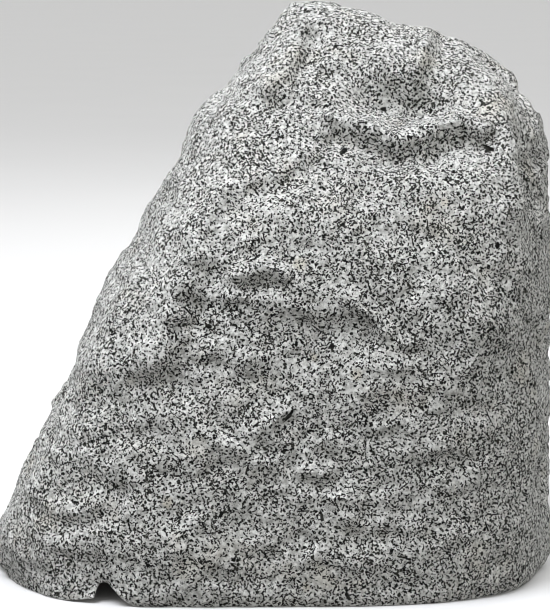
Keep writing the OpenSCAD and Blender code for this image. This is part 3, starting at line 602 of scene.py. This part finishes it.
def stone():
    k = Mat("stone_shell")
    p = k.obj
    dens = k.noise(60, 2, off=(3, 1, 2))
    w = k.warp(p, 300, 0.0004)
    f = flakes(k, w, (0, 0, 0), 0.0022, 0.00105, 0.00038, 0.84, dens, 1.0)
    f = k.math("MAXIMUM", f, flakes(k, w, (3, 3, 3), 0.0016, 0.00075, 0.00033, 0.62, dens, 1.0))
    f = k.math("MAXIMUM", f, flakes(k, p, (6, 1, 6), 0.009, 0.0032, 0.00034, 0.16, dens, 0.3))
    n1 = k.math("ADD", k.noise(620, 1, at=k.warp(p, 120, 0.004)), k.math("MULTIPLY", k.math("SUBTRACT", dens, 0.5), 0.18))
    f = k.math("MAXIMUM", f, k.ramp(n1, 0.395, 0.36))
    ground = k.ramp(k.noise(420, 3, 0.6), 0.3, 0.7)
    ground = k.mix(ground, (0.33, 0.332, 0.312), (0.745, 0.749, 0.724))
    warm = k.ramp(k.noise(38, 2, off=(4, 4, 1)), 0.55, 0.8, 0, 0.45)
    flat = k.warp(p, 160, 0.003)
    plain_side = k.node("ShaderNodeSeparateXYZ")
    k.t.links.new(p, plain_side.inputs[0])
    front = k.math("LESS_THAN", plain_side.outputs["Y"], -0.04)
    for x, z, r in PATCHES:
        d = k.vec("LENGTH", k.vec("MULTIPLY", k.vec("SUBTRACT", flat, (x * 0.001, 0, z * 0.001)), (1, 0, 1)))
        warm = k.math("MAXIMUM", warm, k.math("MULTIPLY", k.ramp(d, r * 0.0014, r * 0.0004, 0, 0.7), front))
    ground = k.mix(warm, ground, k.mix(k.noise(300, 1, off=(2, 0, 6)), (0.46, 0.43, 0.35), (0.66, 0.63, 0.55)))
    fleck = k.mix(k.ramp(k.noise(260, 2, off=(8, 2, 2)), 0.42, 0.66), (0.0015, 0.0015, 0.001), (0.03, 0.03, 0.025))
    near = k.warp(p, 400, 0.0012)
    for x, z, long, wide, slope in CHIPS:
        o = k.vec("SUBTRACT", near, (x * 0.001, 0, z * 0.001))
        c, s = math.cos(math.radians(slope)), math.sin(math.radians(slope))
        a = k.math("MULTIPLY", k.vec("DOT_PRODUCT", o, (c, 0, s)), 1000 / long)
        b = k.math("MULTIPLY", k.vec("DOT_PRODUCT", o, (-s, 0, c)), 1000 / wide)
        d = k.math("ADD", k.math("MULTIPLY", a, a), k.math("MULTIPLY", b, b))
        f = k.math("MAXIMUM", f, k.math("MULTIPLY", k.ramp(d, 1.1, 0.7), front))
    k.base(k.mix(f, ground, fleck))
    k.rough(k.ramp(k.noise(500, 2, off=(0, 3, 0)), 0.2, 0.8, 0.68, 0.88))
    k.set(Specular_IOR_Level=0.14)
    k.bump(k.noise(150, 3, 0.55, off=(9, 0, 0)), 0.8, 0.0022)
    k.bump(k.noise(700, 2, 0.6, off=(0, 9, 0)), 0.25, 0.0004)
    return k.m


def raw_moulding():
    k = Mat("raw_moulding")
    strands = k.noise(90, 3, 0.6, at=k.warp(k.obj, 40, 0.02))
    k.base(k.mix(k.ramp(strands, 0.3, 0.7), (0.19, 0.185, 0.17), (0.33, 0.325, 0.30)))
    k.rough(k.ramp(k.noise(60, 2), 0.3, 0.7, 0.5, 0.75))
    k.bump(strands, 0.5, 0.0015)
    k.bump(k.noise(400, 2), 0.3, 0.0004)
    return k.m


def plain(name, lo, hi, rough=(0.5, 0.65), grain=600, bump=(0.25, 0.0003), mottle=30, metal=0.0, **sockets):
    """Moulded or coated stock: two close tones, a fine grain and a broken gloss."""
    k = Mat(name)
    k.base(k.mix(k.ramp(k.noise(mottle, 4, 0.6), 0.3, 0.7), lo, hi))
    k.rough(k.ramp(k.noise(mottle * 5, 3, 0.6, off=(5, 0, 0)), 0.3, 0.7, *rough))
    k.bump(k.noise(grain, 2, 0.5, off=(0, 0, 7)), *bump)
    k.set(Metallic=metal, **sockets)
    return k


def speckle(name, lo, hi, spark, rough, **sockets):
    """Filled sheet stock: a dark ground with fine bright grains."""
    k = plain(name, lo, hi, rough, 900, (0.2, 0.0002), 60, **sockets)
    v = k.cells(1500, out="Distance")
    lot = k.noise(1400, 0, off=(3, 3, 3))
    f = k.math("MULTIPLY", k.ramp(v, 0.22, 0.1), k.math("GREATER_THAN", lot, 0.56))
    k.base(k.mix(f, k.b.inputs["Base Color"].links[0].from_socket, spark))
    return k


def along(k, axis, centre=(0, 0, 0)):
    """Distance along an axis through a centre, in metres."""
    return k.vec("DOT_PRODUCT", k.vec("SUBTRACT", k.obj, centre), axis)


def bands(k, v, pitch):
    """Rounded ridges across v, one every pitch metres, from 0 to 1."""
    return k.math("ABSOLUTE", k.math("SINE", k.math("MULTIPLY", v, math.pi / pitch)))


def wound(name, axis, pitch=0.0004):
    """Enamelled wire laid in even turns along an axis."""
    k = plain(name, (0.62, 0.27, 0.10), (0.80, 0.40, 0.18), (0.22, 0.38), 500, (0.1, 0.0001), 90, metal=1.0)
    turns = bands(k, along(k, axis), pitch)
    k.base(k.mix(k.ramp(turns, 0.0, 0.5), (0.20, 0.07, 0.02), k.b.inputs["Base Color"].links[0].from_socket))
    k.bump(turns, 0.8, 0.0002)
    return k


def woven(name, lo, hi, rough, pitch=0.0006, depth=0.0002, **sockets):
    """Plain weave in the plane of the drivers."""
    k = plain(name, lo, hi, rough, 400, (0.15, 0.0002), 40, **sockets)
    at = k.warp(k.obj, 60, 0.0008)
    x = k.vec("DOT_PRODUCT", at, tuple(D_X))
    y = k.vec("DOT_PRODUCT", at, tuple(D_Y))
    over = k.math("MAXIMUM", bands(k, x, pitch), bands(k, y, pitch))
    k.base(k.mix(k.ramp(over, 0.5, 1.0), tuple(0.55 * c for c in lo), k.b.inputs["Base Color"].links[0].from_socket))
    k.bump(over, 0.7, depth)
    return k


def foam(name):
    k = plain(name, (0.016, 0.016, 0.017), (0.030, 0.030, 0.031), (0.85, 0.97), 500, (0.3, 0.0004), 50)
    pores = k.cells(900, out="Distance", random=1.0)
    k.base(k.mix(k.ramp(pores, 0.15, 0.45), (0.004, 0.004, 0.004), k.b.inputs["Base Color"].links[0].from_socket))
    k.bump(pores, 0.9, 0.0006)
    return k


def coated(name):
    """Fine orange-peel powder coat."""
    k = plain(name, (0.018, 0.018, 0.019), (0.027, 0.027, 0.028), (0.42, 0.58), 1400, (0.45, 0.00012), 25)
    dust = k.ramp(k.noise(14, 4, 0.65, off=(2, 2, 2)), 0.52, 0.78, 0, 0.22)
    k.base(k.mix(dust, k.b.inputs["Base Color"].links[0].from_socket, (0.10, 0.098, 0.09)))
    return k


def plated(name, lo, hi, rough, stretch=(1, 1, 9)):
    """Plated steel with faint drawn lines."""
    k = plain(name, lo, hi, rough, 300, (0.1, 0.0001), 20, metal=1.0)
    lines = k.noise(260, 2, 0.6, at=k.vec("MULTIPLY", k.obj, stretch))
    k.rough(k.ramp(lines, 0.25, 0.75, *rough))
    k.bump(lines, 0.12, 0.0001)
    return k


def laminate(name, lo, hi):
    k = plain(name, lo, hi, (0.4, 0.55), 500, (0.15, 0.0001), 30)
    fibres = k.noise(700, 2, 0.6, at=k.vec("MULTIPLY", k.obj, (1, 6, 1)))
    k.base(k.mix(k.ramp(fibres, 0.35, 0.7, 0, 0.5), k.b.inputs["Base Color"].links[0].from_socket, tuple(1.6 * c for c in hi)))
    return k


def board(name):
    """Green solder mask with paler tracks under it."""
    k = plain(name, (0.012, 0.075, 0.032), (0.018, 0.10, 0.045), (0.25, 0.38), 900, (0.08, 0.00006), 60)
    v = k.node("ShaderNodeTexVoronoi", feature="DISTANCE_TO_EDGE", distance="EUCLIDEAN")
    k.t.links.new(k.vec("MULTIPLY", k.obj, (1, 1, 0)), v.inputs["Vector"])
    v.inputs["Scale"].default_value = 70
    track = k.ramp(v.outputs["Distance"], 0.10, 0.085)
    k.base(k.mix(track, k.b.inputs["Base Color"].links[0].from_socket, (0.04, 0.20, 0.075)))
    k.bump(track, 0.5, 0.0001)
    return k


def cement(name):
    k = plain(name, (0.56, 0.54, 0.49), (0.72, 0.70, 0.65), (0.75, 0.9), 700, (0.4, 0.0003), 120)
    pits = k.cells(700, out="Distance")
    k.base(k.mix(k.ramp(pits, 0.22, 0.12), k.b.inputs["Base Color"].links[0].from_socket, (0.30, 0.28, 0.25)))
    k.bump(k.ramp(pits, 0.1, 0.3), 0.5, 0.0003)
    return k


def fibres(name):
    """Loose polyester wool: crossing strands and tufts."""
    k = plain(name, (0.66, 0.66, 0.63), (0.84, 0.84, 0.82), (0.92, 1.0), 90, (0.6, 0.002), 25, Sheen_Weight=0.35)
    for n, stretch in enumerate(((9, 1, 1), (1, 1, 9), (4, 6, 1))):
        strand = k.noise(160, 2, 0.7, at=k.vec("MULTIPLY", k.warp(k.obj, 30, 0.02), stretch), off=(n, 2 * n, 5))
        k.base(k.mix(k.ramp(strand, 0.5, 0.7, 0, 0.35), k.b.inputs["Base Color"].links[0].from_socket, (0.42, 0.42, 0.40)))
        k.bump(strand, 0.5, 0.0008)
    return k


def moulded(name, lo, hi, rough=(0.42, 0.58), dust=0.25):
    """Moulded plastic or rubber with a fine spark-eroded texture and a little dust."""
    k = plain(name, lo, hi, rough, 1000, (0.3, 0.00015), 30)
    f = k.ramp(k.noise(18, 4, 0.65, off=(6, 1, 2)), 0.52, 0.8, 0, dust)
    k.base(k.mix(f, k.b.inputs["Base Color"].links[0].from_socket, tuple(min(1, 2.2 * c + 0.03) for c in hi)))
    k.bump(k.noise(160, 2, 0.5, off=(1, 1, 8)), 0.12, 0.0004)
    return k


stone_mat = stone()
inner_mat = raw_moulding()
AXIS = tuple(float(v) for v in D_W)
LOOKS = {
    "black_plastic": moulded("black_plastic", (0.016, 0.016, 0.017), (0.030, 0.030, 0.032)),
    "black_foam": foam("black_foam"),
    "grille_steel": coated("grille_steel"),
    "basket_steel": plain("basket_steel", (0.028, 0.028, 0.031), (0.046, 0.046, 0.050), (0.30, 0.46), 1100, (0.25, 0.0001)),
    "black_screws": plated("black_screws", (0.05, 0.05, 0.053), (0.09, 0.09, 0.095), (0.32, 0.5)),
    "bright_screws": plated("bright_screws", (0.50, 0.50, 0.49), (0.64, 0.635, 0.60), (0.24, 0.42)),
    "rubber": moulded("rubber", (0.017, 0.017, 0.017), (0.027, 0.027, 0.027), (0.58, 0.76), 0.35),
    "poly_cone": speckle("poly_cone", (0.022, 0.022, 0.025), (0.036, 0.036, 0.040), (0.22, 0.22, 0.23), (0.34, 0.48)),
    "former_film": plain("former_film", (0.42, 0.25, 0.07), (0.56, 0.36, 0.12), (0.22, 0.34), 500, (0.1, 0.0001), Coat_Weight=0.3),
    "copper": wound("copper", AXIS),
    "copper_coils": wound("copper_coils", (0.0, 0.0, 1.0), 0.0011),
    "spider_cloth": woven("spider_cloth", (0.50, 0.32, 0.10), (0.66, 0.45, 0.18), (0.72, 0.88)),
    "motor_steel": plated("motor_steel", (0.46, 0.46, 0.45), (0.60, 0.60, 0.58), (0.28, 0.45)),
    "ferrite": plain("ferrite", (0.035, 0.035, 0.038), (0.065, 0.065, 0.068), (0.55, 0.78), 500, (0.5, 0.0003), 80),
    "tag_board": laminate("tag_board", (0.16, 0.075, 0.03), (0.24, 0.12, 0.05)),
    "neo_magnet": plated("neo_magnet", (0.44, 0.44, 0.45), (0.55, 0.55, 0.55), (0.14, 0.26)),
    "silk_dome": woven("silk_dome", (0.014, 0.014, 0.016), (0.028, 0.028, 0.030), (0.55, 0.75), 0.0003, 0.00008, Sheen_Weight=0.25),
    "block_resin": moulded("block_resin", (0.40, 0.38, 0.33), (0.54, 0.52, 0.46), (0.5, 0.7), 0.2),
    "green_board": board("green_board"),
    "nylon": moulded("nylon", (0.62, 0.62, 0.57), (0.74, 0.74, 0.69), (0.38, 0.52), 0.1),
    "capacitor_film": plain("capacitor_film", (0.018, 0.045, 0.22), (0.035, 0.075, 0.32), (0.16, 0.28), 300, (0.08, 0.0001), Coat_Weight=0.4),
    "cement": cement("cement"),
    "terminal_green": moulded("terminal_green", (0.014, 0.16, 0.07), (0.024, 0.23, 0.11), (0.35, 0.5), 0.15),
    "red_lead": moulded("red_lead", (0.26, 0.012, 0.010), (0.40, 0.025, 0.018), (0.36, 0.5), 0.1),
    "black_lead": moulded("black_lead", (0.018, 0.018, 0.018), (0.03, 0.03, 0.03), (0.38, 0.52), 0.1),
    "wadding": fibres("wadding"),
}
LOOKS = {k: (v.m if isinstance(v, Mat) else v) for k, v in LOOKS.items()}
LOOK_OF = {
    "baffle_ring": "black_plastic", "baffle_seal": "black_foam", "grille": "grille_steel", "driver_gasket": "black_foam",
    "woofer_basket": "basket_steel", "driver_screws": "black_screws", "woofer_surround": "rubber",
    "woofer_cone": "poly_cone", "dust_cap": "poly_cone", "voice_coil_former": "former_film",
    "voice_coil_winding": "copper", "woofer_spider": "spider_cloth", "woofer_top_plate": "motor_steel",
    "woofer_magnet": "ferrite", "woofer_yoke": "motor_steel", "woofer_terminals": "tag_board",
    "tweeter_bridge": "black_plastic", "bridge_screws": "black_screws", "tweeter_housing": "black_plastic",
    "tweeter_yoke": "motor_steel", "tweeter_magnet": "neo_magnet", "tweeter_pole_plate": "motor_steel",
    "tweeter_dome": "silk_dome", "tweeter_coil": "copper", "tweeter_surround": "silk_dome",
    "tweeter_faceplate": "black_plastic", "base_plate": "black_plastic", "mounting_blocks": "block_resin",
    "base_screws": "bright_screws", "rubber_feet": "rubber", "foot_screws": "bright_screws", "cable_grommet": "rubber",
    "crossover_board": "green_board", "board_standoffs": "nylon", "board_screws": "bright_screws",
    "coil_bobbins": "nylon", "coil_windings": "copper_coils", "capacitors": "capacitor_film", "resistor": "cement",
    "terminal_block": "terminal_green", "terminal_screws": "bright_screws", "woofer_leads": "red_lead",
    "tweeter_leads": "black_lead", "damping_wadding": "wadding"}

# ---------------------------------------------------------------- rock shell
COLS, ROWS = 400, 205
I_COLS, I_ROWS = 100, 44
Q, H, NRM = skin(COLS, ROWS)
inner_p, inner_top = inner_skin(I_COLS, I_ROWS)
verts = [Q[0, 0]] + list(Q[1:].reshape(-1, 3))
faces = [(0, 1 + j, 1 + (j + 1) % COLS) for j in range(COLS)]
for i in range(ROWS - 1):
    a = 1 + i * COLS
    for j in range(COLS):
        j1 = (j + 1) % COLS
        faces.append((a + j, a + COLS + j, a + COLS + j1, a + j1))
n_outer = len(faces)
base_i = len(verts)
verts += [inner_top] + list(inner_p.reshape(-1, 3))
last = inner_p[-1].copy()
last[:, 2] = 0.4
verts += list(last)
faces += [(base_i, base_i + 1 + (j + 1) % I_COLS, base_i + 1 + j) for j in range(I_COLS)]
for i in range(I_ROWS):
    a = base_i + 1 + i * I_COLS
    for j in range(I_COLS):
        j1 = (j + 1) % I_COLS
        faces.append((a + j, a + j1, a + I_COLS + j1, a + I_COLS + j))
n_inner = len(faces)
# flat ring of the rim, between the last outer row and the foot of the inner skin
ro = 1 + (ROWS - 1) * COLS
ri = base_i + 1 + I_ROWS * I_COLS
mid = np.array([0.0, 0.0])
ao = np.unwrap(np.arctan2(Q[-1, :, 1] - mid[1], Q[-1, :, 0] - mid[0]))
ai = np.unwrap(np.arctan2(last[:, 1] - mid[1], last[:, 0] - mid[0]))
ai += 2 * np.pi * round((ao[0] - ai[0]) / (2 * np.pi))
i = j = 0
while i < COLS or j < I_COLS:
    next_o = ao[(i + 1) % COLS] + (2 * np.pi if i + 1 >= COLS else 0)
    next_i = ai[(j + 1) % I_COLS] + (2 * np.pi if j + 1 >= I_COLS else 0)
    if j >= I_COLS or (i < COLS and next_o <= next_i):
        faces.append((ro + i % COLS, ri + j % I_COLS, ro + (i + 1) % COLS))
        i += 1
    else:
        faces.append((ro + i % COLS, ri + j % I_COLS, ri + (j + 1) % I_COLS))
        j += 1
mats_of = [0] * n_outer + [1] * (n_inner - n_outer) + [1] * (len(faces) - n_inner)
shell = new_object("rock_shell_cast", verts, faces, [stone_mat, inner_mat], mats_of)
outward(shell)


def tool(name, profile, n=160):
    v, f = turned(profile, n)
    o = new_object(name, v, f, [inner_mat])
    outward(o)
    return o


cut(shell, tool("bore", [[0.001, -60], [97, -60], [97, -2.2], [98, -0.8], [100.5, 0.6], [104, 1.6], [104, 30], [0.001, 30]]))
cut(shell, tool("land", [[0.001, -47.2], [104, -47.2], [104, -7.2], [0.001, -7.2]]))
NOTCH = [(-122, -1), (-118, 0.6), (-110, 2), (-102.8, 3.4), (-102, 6), (-101.2, 8.6), (-99.8, 10.8), (-97.8, 12.1),
         (-95.6, 12.4), (-93.4, 11.6), (-91.2, 9.8), (-89, 7.2), (-86, 4.4), (-82.5, 2), (-77, -1)]
nv = [(x, y, z) for y in (-60, -170) for x, z in NOTCH]
m = len(NOTCH)
nf = [tuple(range(m)), tuple(range(2 * m - 1, m - 1, -1))] + [(k, m + k, m + (k + 1) % m, (k + 1) % m) for k in range(m)]
notch = new_object("notch", nv, nf, [inner_mat])
outward(notch)
cut(shell, notch)
# close up the slivers that the cuts leave along their edges, and keep the one closed skin
bm = bmesh.new()
bm.from_mesh(shell.data)
bmesh.ops.remove_doubles(bm, verts=bm.verts, dist=0.00003)
bmesh.ops.dissolve_degenerate(bm, edges=bm.edges, dist=0.00001)
seen, islands = set(), []
for first in bm.verts:
    if first in seen:
        continue
    seen.add(first)
    island, todo = [], [first]
    while todo:
        v = todo.pop()
        island.append(v)
        for e in v.link_edges:
            other = e.other_vert(v)
            if other not in seen:
                seen.add(other)
                todo.append(other)
    islands.append(island)
islands.sort(key=len)
bmesh.ops.delete(bm, geom=[v for island in islands[:-1] for v in island], context="VERTS")
bm.to_mesh(shell.data)
bm.free()
shade(shell, 38)
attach(shell, "cabinet")
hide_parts("rock_shell")

# ---------------------------------------------------------------- grille
def grille():
    """Perforated disc with a rolled edge: a sheet of hexagon cells with a round hole each, drawn down at the rim."""
    pitch, hole, thick, reach, rim = 3.8, 1.35, 1.0, 85.0, 87.0
    key, verts, faces = {}, [], []

    def at(x, y, w):
        c = (round(x * 500), round(y * 500), round(w * 500))
        if c not in key:
            key[c] = len(verts)
            verts.append((x, y, w))
        return key[c]

    cells = []
    n = int(reach / pitch) + 2
    for j in range(-n, n + 1):
        for i in range(-n, n + 1):
            x, y = pitch * (i + 0.5 * (j % 2)), pitch * j * math.sqrt(3) / 2
            if math.hypot(x, y) < reach - pitch * 0.6:
                cells.append((x, y))
    edge = {}
    for x, y in cells:
        ring_o, ring_i = [], []
        for q in range(12):
            ang = math.radians(30 * q)
            far = pitch / 2 if q % 2 == 0 else pitch / math.sqrt(3)
            ring_o.append((x + far * math.cos(ang), y + far * math.sin(ang)))
            ring_i.append((x + hole * math.cos(ang), y + hole * math.sin(ang)))
        for q in range(12):
            r = (q + 1) % 12
            a, b, c, d = ring_o[q], ring_o[r], ring_i[r], ring_i[q]
            fa, fb, fc, fd = (at(*v, -2.0) for v in (a, b, c, d))
            ba, bb, bc, bd = (at(*v, -2.0 - thick) for v in (a, b, c, d))
            faces += [(fa, fb, fc, fd), (bb, ba, bd, bc), (fd, fc, bc, bd)]
            for u, v in ((fa, fb),):
                if (v, u) in edge:
                    del edge[(v, u)]
                else:
                    edge[(u, v)] = (ba, bb)
    # loop round the outside of the cells
    step = {u: v for u, v in edge}
    start = next(iter(step))
    loop, u = [start], step[start]
    while u != start:
        loop.append(u)
        u = step[u]
    seg = 192
    circle = [(rim * math.cos(2 * math.pi * q / seg), rim * math.sin(2 * math.pi * q / seg)) for q in range(seg)]
    ids_f = [at(x, y, -2.0) for x, y in circle] + loop
    ids_b = [at(x, y, -2.0 - thick) for x, y in circle] + [at(verts[v][0], verts[v][1], -2.0 - thick) for v in loop]
    fill = tessellate_polygon([[Vector((x, y, 0)) for x, y in circle], [Vector((verts[v][0], verts[v][1], 0)) for v in loop]])
    for t in fill:
        p = [verts[ids_f[v]] for v in t]
        turn = (p[1][0] - p[0][0]) * (p[2][1] - p[0][1]) - (p[1][1] - p[0][1]) * (p[2][0] - p[0][0])
        if abs(turn) < 1e-9:
            continue
        t = t if turn > 0 else t[::-1]
        faces.append(tuple(ids_f[v] for v in t))
        faces.append(tuple(ids_b[v] for v in reversed(t)))
    roll = [(90.4, -2.0), (91.2, -2.15), (91.7, -2.6), (91.9, -3.2), (91.9, -12), (91.6, -12.3), (91.2, -12.3), (90.9, -12),
            (90.9, -3.4), (90.6, -3.1), (90.2, -3.0)]
    rings = [ids_f[:seg]] + [[at(r * math.cos(2 * math.pi * q / seg), r * math.sin(2 * math.pi * q / seg), w) for q in range(seg)]
                             for r, w in roll] + [ids_b[:seg]]
    for one, two in zip(rings, rings[1:]):
        for q in range(seg):
            r = (q + 1) % seg
            faces.append((one[q], two[q], two[r], one[r]))
    o = new_object("grille_sheet", from_driver(np.array(verts)), faces, [LOOKS["grille_steel"]])
    outward(o)
    shade(o, 30)
    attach(o, "cabinet")
    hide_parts("grille")
    return o


grille_piece = grille()


# ---------------------------------------------------------------- parts that flex between a diaphragm and the frame
def flexing(name, node, slot, profile, sectors, steps):
    """A ring of revolution in equal sectors, each a capped object of its own."""
    for q in range(sectors):
        a0 = 360 * q / sectors
        v, f = turned(profile, steps, a0, a0 + 360 / sectors)
        o = new_object(f"{name}_{q + 1:02d}", v, f, [LOOKS[slot]])
        outward(o)
        shade(o, 40)
        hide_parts(node)
        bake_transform(o)


def arc(cx, cy, r, a0, a1, n):
    return [(cx + r * math.cos(math.radians(a0 + (a1 - a0) * i / n)), cy + r * math.sin(math.radians(a0 + (a1 - a0) * i / n)))
            for i in range(n + 1)]


roll_up = [(57.2, -18.0), (61.2, -18.0)] + arc(66.5, -18, 4.9, 172, 8, 18) + [(71.8, -18.0), (74.0, -18.0), (74.0, -17.4)] \
    + arc(66.5, -18, 5.5, 6.3, 173.7, 20) + [(57.2, -17.4)]
flexing("surround", "woofer_surround", "rubber", roll_up, 12, 8)


def wave(r):
    i = (r - 12.9) / 31.1 * 24
    return 1.2 * math.sin(math.pi / 2 * (i - 2)) if 2 < i < 20 else 0.0


radii = [12.9 + 31.1 * i / 96 for i in range(97)]
ripple = [(r, -47.4 + wave(r)) for r in radii] + [(49.5, -47.4), (49.5, -48.0)] + [(r, -48.0 + wave(r)) for r in reversed(radii)]
flexing("spider", "woofer_spider", "spider_cloth", ripple, 8, 12)
small_roll = arc(12.6, -10.9, 1.3, 178, 12, 10) + [(15.0, -10.7), (15.0, -11.0), (13.6, -11.0)] + arc(12.6, -11.0, 1.0, 4, 176, 8) \
    + [(11.3, -11.0)]
flexing("dome_edge", "tweeter_surround", "silk_dome", small_roll, 8, 6)


# ---------------------------------------------------------------- wadding
def wadding():
    """The wool behind the drivers: the block's shape, softened and tufted, kept off the wall."""
    src = NODES["damping_wadding"]
    o = src.copy()
    o.data = src.data.copy()
    o.name = "damping_wool"
    o.data.materials.clear()
    for c in list(o.users_collection):
        c.objects.unlink(o)
    scene.collection.objects.link(o)
    o.parent = None
    o.matrix_world = src.matrix_world.copy()
    for k in list(o.keys()):
        del o[k]
    m = o.modifiers.new("even", "REMESH")
    m.mode = "VOXEL"
    m.voxel_size = 0.0042
    bpy.context.view_layer.update()
    mesh = bpy.data.meshes.new_from_object(o.evaluated_get(bpy.context.evaluated_depsgraph_get()))
    o.modifiers.clear()
    o.data = mesh
    n = len(mesh.vertices)
    co = np.empty(n * 3)
    mesh.vertices.foreach_get("co", co)
    nr = np.empty(n * 3)
    mesh.vertices.foreach_get("normal", nr)
    co, nr = co.reshape(-1, 3), nr.reshape(-1, 3)
    p = co * 1000
    h = 1.3 * lumps(p, 15, 70) + 0.8 * lumps(p, 8, 71) - 1.4
    co = co + nr * (h * 0.001)[:, None]
    mesh.vertices.foreach_set("co", co.reshape(-1))
    mesh.materials.clear()
    mesh.materials.append(LOOKS["wadding"])
    shade(o, 180)
    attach(o, "cabinet")
    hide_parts("damping_wadding")
    return o


wool = wadding()

# ---------------------------------------------------------------- the floor's material
k = Mat("floor")
k.base(k.mix(k.noise(3, 3), (0.80, 0.80, 0.795), (0.82, 0.82, 0.815)))
k.rough(0.9)
k.set(Specular_IOR_Level=0.1)
floor.data.materials.append(k.m)

# ---------------------------------------------------------------- materials of the imported parts
for name, look in LOOK_OF.items():
    o = NODES[name]
    if not o.material_slots:
        o.data.materials.append(LOOKS[look])
    for sl in o.material_slots:
        sl.material = LOOKS[look]
for sl in NODES["rock_shell"].material_slots:
    sl.material = stone_mat
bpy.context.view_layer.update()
for o in (shell, grille_piece, wool):
    print(o.name, "triangles", sum(len(f.vertices) - 2 for f in o.data.polygons))
